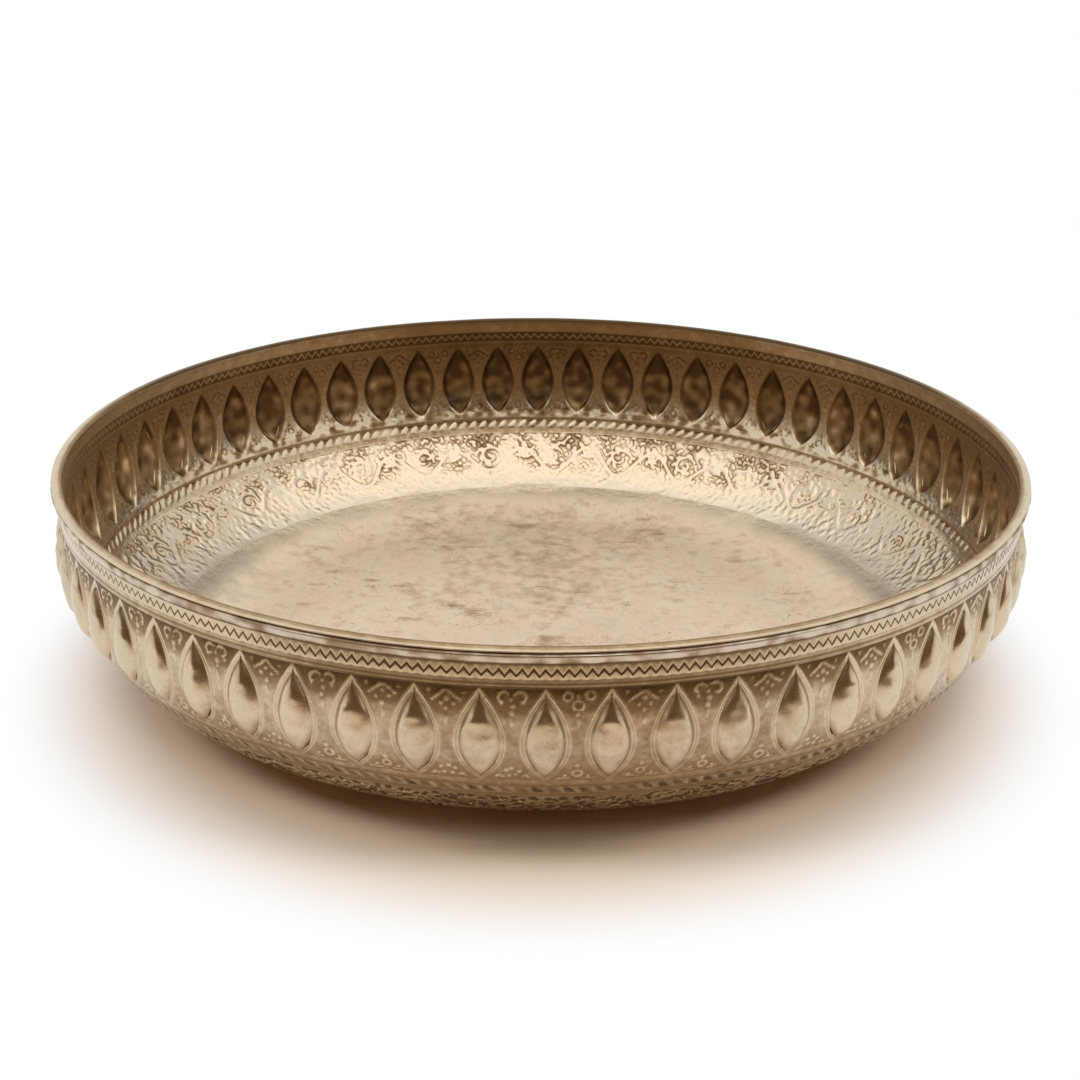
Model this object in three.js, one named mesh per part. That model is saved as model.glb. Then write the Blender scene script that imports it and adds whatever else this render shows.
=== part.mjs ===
// A wide, shallow silver bowl. It is raised from one sheet of metal, with a row of petals pushed out round the wall,
// and a half-round band is soldered round the outside of its mouth, under the turned-out lip.
// Lengths are in millimetres. The bowl stands on its flat base with its axis on +Z and its mouth up.

import * as THREE from 'three';

// The bowl as a whole
const mouthRadius = 150; // to the outer edge of the lip
const bowlHeight = 68; // from the table to the top of the lip
const baseRadius = 89; // the flat part that the bowl stands on
const sheetThickness = 1.2;

// The wall
const lipOverhang = 2; // how far the lip stands out past the neck below it
const lipThickness = 0.6; // the sheet is hammered thin where it turns out
const bellySwell = 0.6; // how far the belly stands out past the neck
const bellyHeight = 45; // where the wall is widest

// The petals round the wall
const petalCount = 58;
const petalHeight = 25.4;
const petalWidth = 11.6;
const petalRise = 1.5; // how far a petal is pushed out of the wall
const petalDrop = 11; // from the top of the lip down to the upper tips

// The band round the mouth
const bandHeight = 3.4;
const bandProud = 0.25; // how far the band's crest stands out past the lip
const bandLand = 1.3; // width of the band's flat top, which lies against the lip
const solderGap = 0.3; // between the neck and the back of the band

// How finely the solids are faceted
const columnsPerPetal = 4;
const curveSteps = 4;
const petalSteps = 4;
const bandColumnsPerPetal = 2;

// What follows from those sizes
const neckRadius = mouthRadius - lipOverhang;
const bellyRadius = neckRadius + bellySwell;
const lipUnderside = bowlHeight - lipThickness;
const petalTop = bowlHeight - petalDrop;
const petalBottom = petalTop - petalHeight;

// Outer radius of the plain wall: a quarter ellipse from the base to the belly, then drawn in a little to the neck.
function wallRadius(height) {
  if (height < bellyHeight) {
    const drop = (bellyHeight - height) / bellyHeight;
    return baseRadius + (bellyRadius - baseRadius) * Math.sqrt(1 - drop * drop);
  }
  const climb = (height - bellyHeight) / (lipUnderside - bellyHeight);
  return bellyRadius - bellySwell * climb * climb;
}

// A point of the outer surface. Share runs from 0 at a petal's lower tip to 1 at its upper tip.
function outerPoint(height, share = 0) {
  return { radius: wallRadius(height), height, share };
}

// The point of the inner surface that lies one sheet thickness behind it.
function innerPoint(height, share = 0) {
  const step = 0.01;
  const slope = (wallRadius(height + step) - wallRadius(height - step)) / (2 * step);
  const length = Math.hypot(1, slope);
  return {
    radius: wallRadius(height) - sheetThickness / length,
    height: height + sheetThickness * slope / length,
    share,
  };
}

// Heights of the rings between the base and the petals, closest together where the curve is flattest.
function curveHeights() {
  const heights = [];
  for (let step = 1; step < curveSteps; step++) {
    const turn = Math.PI / 2 * step / curveSteps;
    heights.push(petalBottom * (1 - Math.cos(turn)));
  }
  return heights;
}

// One surface of the wall from the base up to the petals' upper tips.
function wallPoints(pointAt) {
  const points = curveHeights().map((height) => pointAt(height));
  for (let step = 0; step <= petalSteps; step++) {
    const share = step / petalSteps;
    points.push(pointAt(petalBottom + petalHeight * share, share));
  }
  return points;
}

// The section of the sheet, from the middle of the base round over the lip to the middle of the floor.
function shellSection() {
  return [
    { radius: 0, height: 0, share: 0 },
    { radius: baseRadius, height: 0, share: 0 },
    ...wallPoints(outerPoint),
    { radius: neckRadius, height: lipUnderside, share: 0 },
    { radius: mouthRadius, height: lipUnderside, share: 0 },
    { radius: mouthRadius, height: bowlHeight, share: 0 },
    { radius: neckRadius - sheetThickness, height: bowlHeight, share: 0 },
    ...wallPoints(innerPoint).reverse(),
    { radius: baseRadius, height: sheetThickness, share: 0 },
    { radius: 0, height: sheetThickness, share: 0 },
  ];
}

// How far the sheet is pushed out at a share of the petal's height and a column round the bowl. A petal is a pointed
// oval, fullest in the middle.
function petalPush(share, column) {
  const fullness = 4 * share * (1 - share);
  const halfWidth = petalWidth / 2 * fullness;
  const pitch = 2 * Math.PI * bellyRadius / petalCount;
  const place = column % columnsPerPetal / columnsPerPetal;
  const aside = Math.min(place, 1 - place) * pitch;
  if (aside >= halfWidth) {
    return 0;
  }
  return petalRise * fullness * (1 - (aside / halfWidth) ** 2);
}

// A turned solid with its axis on +Z. Column 0 faces -Y.
function turned(section, columns) {
  const points = section.map((point) => new THREE.Vector2(point.radius, point.height));
  const geometry = new THREE.LatheGeometry(points, columns);
  geometry.rotateX(Math.PI / 2);
  return geometry;
}

function metal(color, roughness) {
  return new THREE.MeshStandardMaterial({ color, roughness, metalness: 1 });
}

// The bowl: the plain turned sheet with both of its surfaces pushed out at every petal.
function bowlShell() {
  const section = shellSection();
  const geometry = turned(section, petalCount * columnsPerPetal);
  const position = geometry.getAttribute('position');
  for (let index = 0; index < position.count; index++) {
    const point = section[index % section.length];
    const column = Math.floor(index / section.length);
    const push = petalPush(point.share, column);
    if (push > 0) {
      const stretch = (point.radius + push) / point.radius;
      position.setX(index, position.getX(index) * stretch);
      position.setY(index, position.getY(index) * stretch);
    }
  }
  geometry.computeVertexNormals();
  const mesh = new THREE.Mesh(geometry, metal(0xb8a888, 0.42));
  mesh.name = 'bowl_shell';
  return mesh;
}

// The band: its flat top lies against the underside of the lip, and its face is rounded.
function rimBand() {
  const back = neckRadius + solderGap;
  const crest = mouthRadius + bandProud;
  const top = lipUnderside;
  const bottom = top - bandHeight;
  const section = [
    { radius: back, height: bottom },
    { radius: back + bandLand / 2, height: bottom },
    { radius: crest - bandProud, height: bottom + bandHeight / 4 },
    { radius: crest, height: bottom + bandHeight / 2 },
    { radius: back + bandLand, height: top },
    { radius: back, height: top },
    { radius: back, height: bottom },
  ];
  const mesh = new THREE.Mesh(turned(section, petalCount * bandColumnsPerPetal), metal(0xbcb3a2, 0.38));
  mesh.name = 'rim_band';
  return mesh;
}

const bowl = new THREE.Group();
bowl.add(bowlShell());
bowl.add(rimBand());

export default bowl;
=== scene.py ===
# A wide, shallow silver bowl with petals, borders and scrolls chased round its wall.
# Lengths in the dictionaries are in millimetres, and every mesh is in metres.

import math
import random

import bmesh
import bpy
import numpy as np
from mathutils import Matrix, Vector, noise
from mathutils.kdtree import KDTree


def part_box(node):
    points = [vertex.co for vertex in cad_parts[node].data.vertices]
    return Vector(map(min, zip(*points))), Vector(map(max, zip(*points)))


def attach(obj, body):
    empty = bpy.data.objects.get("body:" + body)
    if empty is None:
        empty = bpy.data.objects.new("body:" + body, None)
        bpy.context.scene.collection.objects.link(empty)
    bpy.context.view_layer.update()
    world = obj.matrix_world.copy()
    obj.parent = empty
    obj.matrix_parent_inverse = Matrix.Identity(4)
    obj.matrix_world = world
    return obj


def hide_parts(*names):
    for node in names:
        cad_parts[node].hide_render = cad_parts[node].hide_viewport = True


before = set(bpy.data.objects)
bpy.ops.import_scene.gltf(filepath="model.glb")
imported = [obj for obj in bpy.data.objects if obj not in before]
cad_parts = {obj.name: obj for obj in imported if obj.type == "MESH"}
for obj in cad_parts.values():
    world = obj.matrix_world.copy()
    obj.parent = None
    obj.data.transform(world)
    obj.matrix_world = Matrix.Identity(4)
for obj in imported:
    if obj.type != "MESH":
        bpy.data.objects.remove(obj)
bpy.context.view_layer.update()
mm = 0.001
print("frame loaded")

shellLow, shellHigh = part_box("bowl_shell")
bandLow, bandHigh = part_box("rim_band")
mouthRadius = shellHigh.x / mm
bowlHeight = shellHigh.z / mm


# The sheet that the bowl is raised from
sheet = {
    "thickness": 1.2,
    "baseRadius": 89,  # the flat that it stands on
    "bellyHeight": 45,  # where the wall is widest
    "bellySwell": 0.6,
    "lipOverhang": 2,
    "lipThickness": 0.6, "lipDroop": 0.24,  # it is hammered thin, and its top falls a little outwards
    "corner": 0.3,  # radius under the lip
    "points": (90, 500, 150, 12, 20),  # of its section: base, round, wall, corner and lip
    "petals": 58,
    "reverse": 0.9,  # how much of the relief shows on the inside
    "waves": (14, 0.10),  # size and depth of the slow waves all over the wall
    "paintedSideSheen": 0.115,  # painted sheen: less tarnish at the left and right, which mirror the bright room
    # how much tarnish is left at each height, outside and inside, with painted shade: darker low on the
    # outside, where the underside faces the shaded table, and high on the inside, where the wall mirrors the
    # dark room. The lighter values low inside are partly painted sheen on the frieze.
    "outerTarnishAndShade": (
        (0, 0.24), (12, 0.20), (18, 0.19), (22, 0.16), (26, 0.12), (30, 0.09), (36, 0.05), (42, 0.02),
        (46, 0),
    ),
    "innerTarnishShadeAndSheen": (
        (0, 0), (3, -0.05), (6, -0.20), (8, -0.20), (12, -0.16), (18, -0.17), (22, -0.13), (23.2, 0.08),
        (24.4, 0.09), (25.4, 0), (26.4, 0), (27.2, 0.06), (28, 0.08), (31, 0.05), (34, 0.06), (38, 0.08),
        (42, 0.13), (48, 0.18), (54, 0.25), (57, 0.24), (61, 0.15), (63, 0.13), (66, 0.14), (67.35, 0.15),
        (67.4, 0),
    ),
}


def sheetSection():
    # the outer side of the sheet, from the middle of the base to the edge of the lip
    base, corner = sheet["baseRadius"], sheet["corner"]
    basePoints, roundPoints, wallPoints, cornerPoints, lipPoints = sheet["points"]
    neck = mouthRadius - sheet["lipOverhang"]
    belly = neck + sheet["bellySwell"]
    under = bowlHeight - sheet["lipThickness"]
    radii, heights = [np.linspace(0, base, basePoints)], [np.zeros(basePoints)]
    turn = np.linspace(0, math.pi / 2, roundPoints)[1:]
    radii.append(base + (belly - base) * np.sin(turn))
    heights.append(sheet["bellyHeight"] * (1 - np.cos(turn)))
    climb = np.linspace(0, 1, wallPoints)[1:]
    radii.append(belly - sheet["bellySwell"] * climb**2)
    heights.append(sheet["bellyHeight"] + (under - corner - sheet["bellyHeight"]) * climb)
    turn = np.linspace(0, math.pi / 2, cornerPoints)[1:]
    radii.append(neck + corner * (1 - np.cos(turn)))
    heights.append(under - corner * (1 - np.sin(turn)))
    radii.append(np.linspace(neck + corner, mouthRadius, lipPoints)[1:])
    heights.append(np.full(lipPoints - 1, under))
    radius, height = np.concatenate(radii), np.concatenate(heights)
    run = np.concatenate([[0], np.cumsum(np.hypot(np.diff(radius), np.diff(height)))])
    alongR, alongZ = np.gradient(radius, run), np.gradient(height, run)
    length = np.hypot(alongR, alongZ)
    return {"run": run, "radius": radius, "height": height, "outR": alongZ / length, "outZ": -alongR / length}


section = sheetSection()


def runAt(height):
    # how far along the section a height of the wall is
    wall = (section["height"] > 0) & (section["height"] < bowlHeight - sheet["lipThickness"])
    return np.interp(height, section["height"][wall], section["run"][wall])


def alongSection(run, name):
    return np.interp(run, section["run"], section[name])


def onSheet(angle, run, offset):
    # points of the bowl: an angle of 0 is at the front, and offset is outwards from the outer side
    radius = alongSection(run, "radius") + alongSection(run, "outR") * offset
    height = alongSection(run, "height") + alongSection(run, "outZ") * offset
    return np.stack([radius * np.sin(angle), -radius * np.cos(angle), height], -1) * mm


def evenNet(low, high, columns, rows):
    # the angles and runs of an even net of points all the way round
    return np.meshgrid(np.linspace(0, 2 * math.pi, columns + 1), np.linspace(low, high, rows + 1))


def clamped(values):
    return np.clip(values, 0, 1)


def endFade(run, reach):
    # 1 inside a zone, falling to 0 at its lower and upper edges
    return clamped(np.minimum(run - run[:1], run[-1:] - run) / reach)


def ridge(distance, halfWidth):
    # 1 on the line, falling smoothly to 0 at its edge
    return np.cos(clamped(np.abs(distance) / halfWidth) * math.pi / 2) ** 2


def blurred(values, times):
    # the mean with the neighbours, round the ring and up the wall
    for _ in range(times):
        ring = values[:, :-1]
        ring = (np.roll(ring, 1, 1) + 2 * ring + np.roll(ring, -1, 1)) / 4
        values = np.concatenate([ring, ring[:, :1]], 1)
        padded = np.concatenate([values[:1], values, values[-1:]])
        values = (padded[:-2] + 2 * padded[1:-1] + padded[2:]) / 4
    return values


def acrossSheet(angle, run, size, value):
    # a noise of this size, read at each point of the sheet
    points = onSheet(angle, run, 0 * run).reshape(-1, 3) / (size * mm)
    return np.array([value(Vector(point)) for point in points]).reshape(run.shape)


def hammered(angle, run, size, amount):
    # the low waves that the planishing hammer leaves
    return amount * acrossSheet(angle, run, size, noise.noise)


def smoothLine(points, step=0.25):
    # a polyline with its corners cut three times, as evenly spaced points and their shares of its length
    line = np.array(points, float)
    for _ in range(3):
        start, end = line[:-1], line[1:]
        cut = np.stack([0.75 * start + 0.25 * end, 0.25 * start + 0.75 * end], 1).reshape(-1, 2)
        line = np.vstack([line[:1], cut, line[-1:]])
    length = np.concatenate([[0], np.cumsum(np.hypot(*np.diff(line, axis=0).T))])
    at = np.linspace(0, length[-1], max(2, int(length[-1] / step) + 1))
    across, along = np.interp(at, length, line[:, 0]), np.interp(at, length, line[:, 1])
    return np.stack([across, along], 1), at / length[-1]


class Chasing:
    # strokes raised on the sheet, laid out flat: millimetres round the bowl and along its section
    def __init__(self, around, power=2):
        self.around = around
        self.power = power  # 2 gives round strokes, and more gives flatter ones
        self.marks = []

    def stroke(self, points, halfWidth, height, taper):
        line, share = smoothLine(points)
        width = halfWidth * (taper + (1 - taper) * np.sin(np.pi * share) ** 0.6)
        for (x, y), half in zip(line, width):
            self.marks.append((x, y, half, height))

    def boss(self, x, y, halfWidth, height):
        self.marks.append((x, y, halfWidth, height))

    def ring(self, x, y, radius, halfWidth, height):
        count = max(8, round(25 * radius))  # bosses so close that they make one line
        for number in range(count):
            turn = 2 * math.pi * number / count
            self.boss(x + radius * math.cos(turn), y + radius * math.sin(turn), halfWidth, height)

    def lift(self, across, along, nearest=5):
        tree = KDTree(3 * len(self.marks))
        for index, (x, y, _, _) in enumerate(self.marks):
            for turn in (-1, 0, 1):
                tree.insert((x + turn * self.around, y, 0), index)
        tree.balance()
        lift = np.zeros(across.size)
        for place, (x, y) in enumerate(zip(across.ravel(), along.ravel())):
            for _, index, distance in tree.find_n((x, y, 0), nearest):
                _, _, half, height = self.marks[index]
                if distance < half:
                    share = (distance / half) ** self.power
                    lift[place] = max(lift[place], height * math.sqrt(1 - share))
        return lift.reshape(across.shape)


def ringOf(angle, run, lifts, dirt=(0.0, 0.0), fines=None, thinned=(0.0, 0.0)):
    # the sheet of one zone all the way round, with the relief of both sides and its tarnish, which holds
    # painted shade and sheen in places
    outside = onSheet(angle, run, lifts[0] - thinned[0])
    inside = onSheet(angle, run, sheet["reverse"] * lifts[1] - sheet["thickness"] + thinned[1])
    height = alongSection(run, "height")
    # painted sheen: the left and right sides are made cleaner and lighter
    wearAndSheen = sheet["paintedSideSheen"] * np.sin(angle) ** 2
    tarnishAndShade = []
    for name, extra, fine, sign in zip(("outerTarnishAndShade", "innerTarnishShadeAndSheen"), dirt, fines or lifts, (1, -1)):
        tarnishAndShade.append(np.interp(height, *zip(*sheet[name])) + extra - wearAndSheen + sign * (blurred(fine, 3) - fine))
    return {"places": (outside, inside), "tarnishAndShade": tarnishAndShade}


def sheetPiece(name, ring, first=0, last=None, roundTop=False):
    # a strip of the sheet with both of its sides, cut from a ring and bent round the bowl
    rows = ring["places"][0].shape[0] - 1
    total = ring["places"][0].shape[1] - 1
    last = total if last is None else last
    columns = last - first
    closed = columns == total
    bm = bmesh.new()
    # a net whose places are whole numbers, from which each point's column, row and side are read back
    bmesh.ops.create_grid(bm, x_segments=columns, y_segments=rows, size=0.5)
    bmesh.ops.translate(bm, verts=bm.verts, vec=(0.5, 0.5, -1))
    bmesh.ops.scale(bm, verts=bm.verts, vec=(columns, rows, 1))
    grown = bmesh.ops.extrude_face_region(bm, geom=bm.faces[:])["geom"]
    top = [item for item in grown if isinstance(item, bmesh.types.BMVert)]
    bmesh.ops.translate(bm, verts=top, vec=(0, 0, 1))
    if closed:
        ends = [face for face in bm.faces if abs(face.normal.x) > 0.5]
        bmesh.ops.delete(bm, geom=ends, context="FACES")
    for edge in bm.edges:
        middle = (edge.verts[0].co.y + edge.verts[1].co.y) / 2
        rounded = roundTop and middle > rows - 0.1
        edge.smooth = rounded or edge.calc_face_angle(0) < 1  # sharp between the sides and the cut ends
    layer = bm.verts.layers.float.new("tarnishAndShade")
    seam = []
    for vert in bm.verts:
        column, row, side = round(vert.co.x), round(vert.co.y), round(-vert.co.z)
        if closed and column in (0, columns):
            seam.append(vert)
        vert.co = ring["places"][side][row, first + column]
        vert[layer] = ring["tarnishAndShade"][side][row, first + column]
    if closed:
        bmesh.ops.remove_doubles(bm, verts=seam, dist=1e-7)
    for face in bm.faces:
        face.smooth = True
    return finishedPiece(name, bm)


def finishedPiece(name, bm):
    mesh = bpy.data.meshes.new(name)
    bm.to_mesh(mesh)
    bm.free()
    piece = bpy.data.objects.new(name, mesh)
    bpy.context.scene.collection.objects.link(piece)
    return piece


def dress(piece, node, material):
    # the piece stands for a CAD node and moves with the bowl's only body
    piece.data.materials.append(material)
    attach(piece, "root")
    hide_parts(node)
    print(piece.name, "made,", len(piece.data.polygons), "faces")


def wallPieces(name, ring, arcs, each=1, roundTop=False):
    # a ring of the wall, parted at these columns or groups of columns so that no piece has too many faces
    for number, (first, last) in enumerate(zip(arcs, arcs[1:]), 1):
        piece = sheetPiece(f"{name}_{number}", ring, first * each, last * each, roundTop)
        dress(piece, "bowl_shell", wallSilver)


# Materials

class Value:
    # a socket that can be used in sums
    def __init__(self, finish, socket):
        self.finish, self.socket = finish, socket

    def math(self, operation, *others):
        return self.finish.node("ShaderNodeMath", {"operation": operation}, others)

    def __add__(self, other):
        return self.math("ADD", self, other)

    def __sub__(self, other):
        return self.math("SUBTRACT", self, other)

    def __mul__(self, other):
        return self.math("MULTIPLY", self, other)

    def __radd__(self, other):
        return self.math("ADD", other, self)

    def __rsub__(self, other):
        return self.math("SUBTRACT", other, self)

    def __rmul__(self, other):
        return self.math("MULTIPLY", other, self)

    def between(self, low, high):
        # 0 below low, 1 above high
        return self.finish.node(
            "ShaderNodeMapRange", {"interpolation_type": "SMOOTHSTEP", "clamp": True},
            {"Value": self, "From Min": low, "From Max": high},
        )


class Finish:
    # the nodes of a material or of the world
    def __init__(self, owner):
        owner.use_nodes = True
        self.tree = owner.node_tree
        self.tree.nodes.clear()

    def node(self, kind, settings=None, inputs=(), output=0):
        node = self.tree.nodes.new(kind)
        for key, value in (settings or {}).items():
            setattr(node, key, value)
        pairs = inputs.items() if isinstance(inputs, dict) else enumerate(inputs)
        for key, value in pairs:
            if isinstance(value, Value):
                self.tree.links.new(value.socket, node.inputs[key])
            else:
                node.inputs[key].default_value = value
        return Value(self, node.outputs[output]) if node.outputs else None

    def place(self):
        return self.node("ShaderNodeTexCoord", None, (), "Object")

    def noise(self, place, size, detail, roughness=0.55):
        return self.node(
            "ShaderNodeTexNoise", {"noise_dimensions": "3D"},
            {"Vector": place, "Scale": 1 / (size * mm), "Detail": detail, "Roughness": roughness},
        )

    def stretched(self, place, factors):
        return self.node("ShaderNodeVectorMath", {"operation": "MULTIPLY"}, (place, factors))

    def distance(self, place, point):
        return self.node("ShaderNodeVectorMath", {"operation": "DISTANCE"}, (place, point), "Value")

    def near(self, place, point, reach):
        # 1 at a point, falling to 0 at this reach from it
        return 1 - self.distance(place, point).between(0.2 * reach, reach)

    def mixColor(self, share, first, second):
        # the node's colours go in at 6 and 7 and come out at 2
        return self.node(
            "ShaderNodeMix", {"data_type": "RGBA", "clamp_factor": True},
            {0: share, 6: first, 7: second}, 2,
        )


def silver(name, look):
    material = bpy.data.materials.new(name)
    finish = Finish(material)
    place = finish.place()
    # tarnish from the pieces, with painted shade and sheen in places
    tarnishAndShade = finish.node("ShaderNodeAttribute", {"attribute_name": "tarnishAndShade"}, (), "Fac")
    patches = finish.noise(place, look["patchSize"], 4)
    tones = finish.noise(finish.stretched(place, look["toneStretch"]), look["toneSize"], 5, 0.6)
    grain = finish.noise(place, look["grainSize"], 5, 0.65)
    pits = finish.noise(place, look["pitSize"], 2)
    dirt = tarnishAndShade * look["tarnishShadeWeight"] + (patches - 0.5) * look["patchDirt"]
    dirt = dirt + (grain - 0.5) * look["grainDirt"]
    color = finish.mixColor(tones.between(*look["toneRange"]), (*look["clean"], 1), (*look["warmer"], 1))
    roughness, clusters = look["roughness"], 1.0
    if "edge" in look:
        # the floor's rim takes on the look of the wall, and its scratches and pits lie in clusters
        low, high = look["edge"]
        rim = finish.node("ShaderNodeSeparateXYZ", None, (place,), "Z").between(low * mm, high * mm)
        color = finish.mixColor(rim, color, (*wallLook["clean"], 1))
        roughness = roughness + rim * (wallLook["roughness"] - look["roughness"])
        streaks = finish.noise(finish.stretched(place, look["streakStretch"]), look["streakSize"], 5, 0.7)
        clusters = finish.noise(place, look["clusterSize"], 3, 0.6).between(*look["clusterRange"])
        scratched = streaks.between(*look["streakRange"]) * (look["alwaysStreaked"] + clusters)
        dirt = dirt + scratched * look["streakDirt"] * (1 - rim)
    color = finish.mixColor((0.0 - dirt).between(*look["polishedRange"]), color, (*look["polished"], 1))
    dirt = dirt + look["allOver"]
    deep = dirt.between(*look["blackenedRange"])
    dirt = dirt.between(0, 1)
    color = finish.mixColor(dirt, color, (*look["tarnished"], 1))
    color = finish.mixColor(deep, color, (*look["blackened"], 1))
    specks = pits.between(*look["speckRange"]) * look["specks"] * clusters
    if "stains" in look:
        for point, reach, strength, pitted in look["stains"]:
            stain = finish.near(place, [part * mm for part in point], reach * mm) * strength
            color = finish.mixColor(stain * (0.4 + grain), color, (*look["stainColor"], 1))
            specks = specks + stain * pits.between(*look["stainPitRange"]) * pitted
    color = finish.mixColor(specks, color, (*(look["speckShade"] * part for part in look["tarnished"]), 1))
    roughness = dirt * look["dirtRoughness"] + (grain - 0.5) * look["grainRoughness"] + roughness
    bump = finish.node(
        "ShaderNodeBump", None,
        {
            "Strength": look["bump"], "Distance": look["bumpDepth"] * mm,
            "Height": grain * look["grainBump"] - specks * look["speckBump"],
        },
    )
    shader = finish.node(
        "ShaderNodeBsdfPrincipled", None,
        {"Base Color": color, "Metallic": 1.0, "Roughness": roughness, "Normal": bump},
    )
    finish.node("ShaderNodeOutputMaterial", None, {"Surface": shader})
    return material


# A size is that of a noise, and a range says where its effect sets in and where it is full.
wallLook = {
    "clean": (0.64, 0.53, 0.365), "warmer": (0.67, 0.53, 0.37), "tarnished": (0.30, 0.19, 0.09),
    "blackened": (0.09, 0.05, 0.02), "polished": (0.585, 0.505, 0.385),
    "blackenedRange": (0.7, 2.2), "polishedRange": (0.2, 1.2),
    "patchSize": 38, "toneSize": 22, "toneStretch": (1.3, 0.8, 1.0), "toneRange": (0.38, 0.62),
    "grainSize": 3.5, "pitSize": 0.9, "speckRange": (0.62, 0.72), "specks": 0.25, "speckShade": 0.3,
    "tarnishShadeWeight": 5.0, "patchDirt": 0.7, "grainDirt": 0.9, "allOver": 0.3,
    "roughness": 0.25, "dirtRoughness": 0.20, "grainRoughness": 0.10,
    "bump": 0.4, "bumpDepth": 0.1, "grainBump": 1.2, "speckBump": 0.5,
}
floorLook = dict(
    wallLook, clean=(0.83, 0.73, 0.57), warmer=(0.85, 0.69, 0.53), tarnished=(0.46, 0.32, 0.20),
    patchSize=40, toneSize=14, grainSize=5, tarnishShadeWeight=3, patchDirt=1.3, grainDirt=1.5, allOver=0.34,
    specks=0.8, roughness=0.60, dirtRoughness=0.05, bump=1.0,
    edge=(4.0, 7.2),  # between these heights it turns into the wall
    streakStretch=(0.5, 1.5, 1.0), streakSize=9, streakRange=(0.52, 0.66), streakDirt=0.35,
    clusterSize=26, clusterRange=(0.42, 0.62), alwaysStreaked=0.25,
    stainColor=(0.46, 0.29, 0.20), stainPitRange=(0.52, 0.6),
    # where a stain is, how far it reaches, how strong it is and how pitted
    stains=(((-36, -50, 1), 22, 1.1, 0.3), ((-18, -66, 1), 26, 0.3, 1.6), ((5, -35, 1), 90, 0.2, 0.0)),
)
bandLook = dict(
    wallLook, clean=(0.66, 0.57, 0.45), warmer=(0.66, 0.54, 0.44), tarnished=(0.34, 0.23, 0.13),
    roughness=0.30, tarnishShadeWeight=3,
)

wallSilver = silver("wallSilver", wallLook)
floorSilver = silver("floorSilver", floorLook)
bandSilver = silver("bandSilver", bandLook)
print("materials made")


# The mouth: neck, zigzag and the turned-out lip
mouth = {
    "ledge": (57.0, 57.2, 57.4, 57.7, 58.0, 58.3, 58.6, 58.8, 59.1),  # heights, from the petals' upper tips
    "grooveAt": 57.4, "grooveHalfWidth": 0.5, "grooveDepth": 0.1,
    "lineAt": 58.1, "lineHalfWidth": 0.6, "lineRise": 0.015, "lineDirt": 0.15,
    "zigzagLow": 59.3, "zigzagHigh": 63.2,
    "zigzagSwing": 1.0, "swings": (0.8, 1.1),  # the least and the most share of it
    "zigzags": 315, "columnsEach": 6, "crowding": 0.048,  # they are struck closer together at the front
    "zigzagDepth": 0.05, "zigzagHalfWidth": 0.34, "zigzagDirt": 0.36,
    "toothRise": 0.09, "toothSlope": (0.4, 0.75), "toothDirt": (-0.04, -0.05),  # below and above the zigzag
    "upperSide": 0.03, "sideDirt": (0.35, 0.3),  # shares of the zigzag's dirt on its lower and upper side
    "backDirt": 0.22, "zigzagBack": 0.45, "ledgeBack": 0.04,  # behind the triangles, the zigzag and the ledge
    "stripDirt": 0.05, "edgeRise": 0.07,
    "neck": ((63.6, 0.04, 0.02), (64.4, 0.03, 0.02), (65.7, 0, 0)),  # height, rise and dirt
    "lipBackShade": 0.35, "lipBackSpread": 1.5,  # painted shade on the lip at the back of the bowl
    "lipInnerShade": 0.10, "lipInnerRows": 5,
    "wornAt": 5.03, "wornReach": 0.45, "wearAndSheen": 0.75,  # the zigzag is rubbed away round this angle
    "cornerSteps": 4, "lipSteps": 3,
    "nose": 0.12, "noseSteps": 4, "nosePinch": 0.8,  # how round the lip's edge is
    "arcs": (0, 945, 1890),
}


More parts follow.
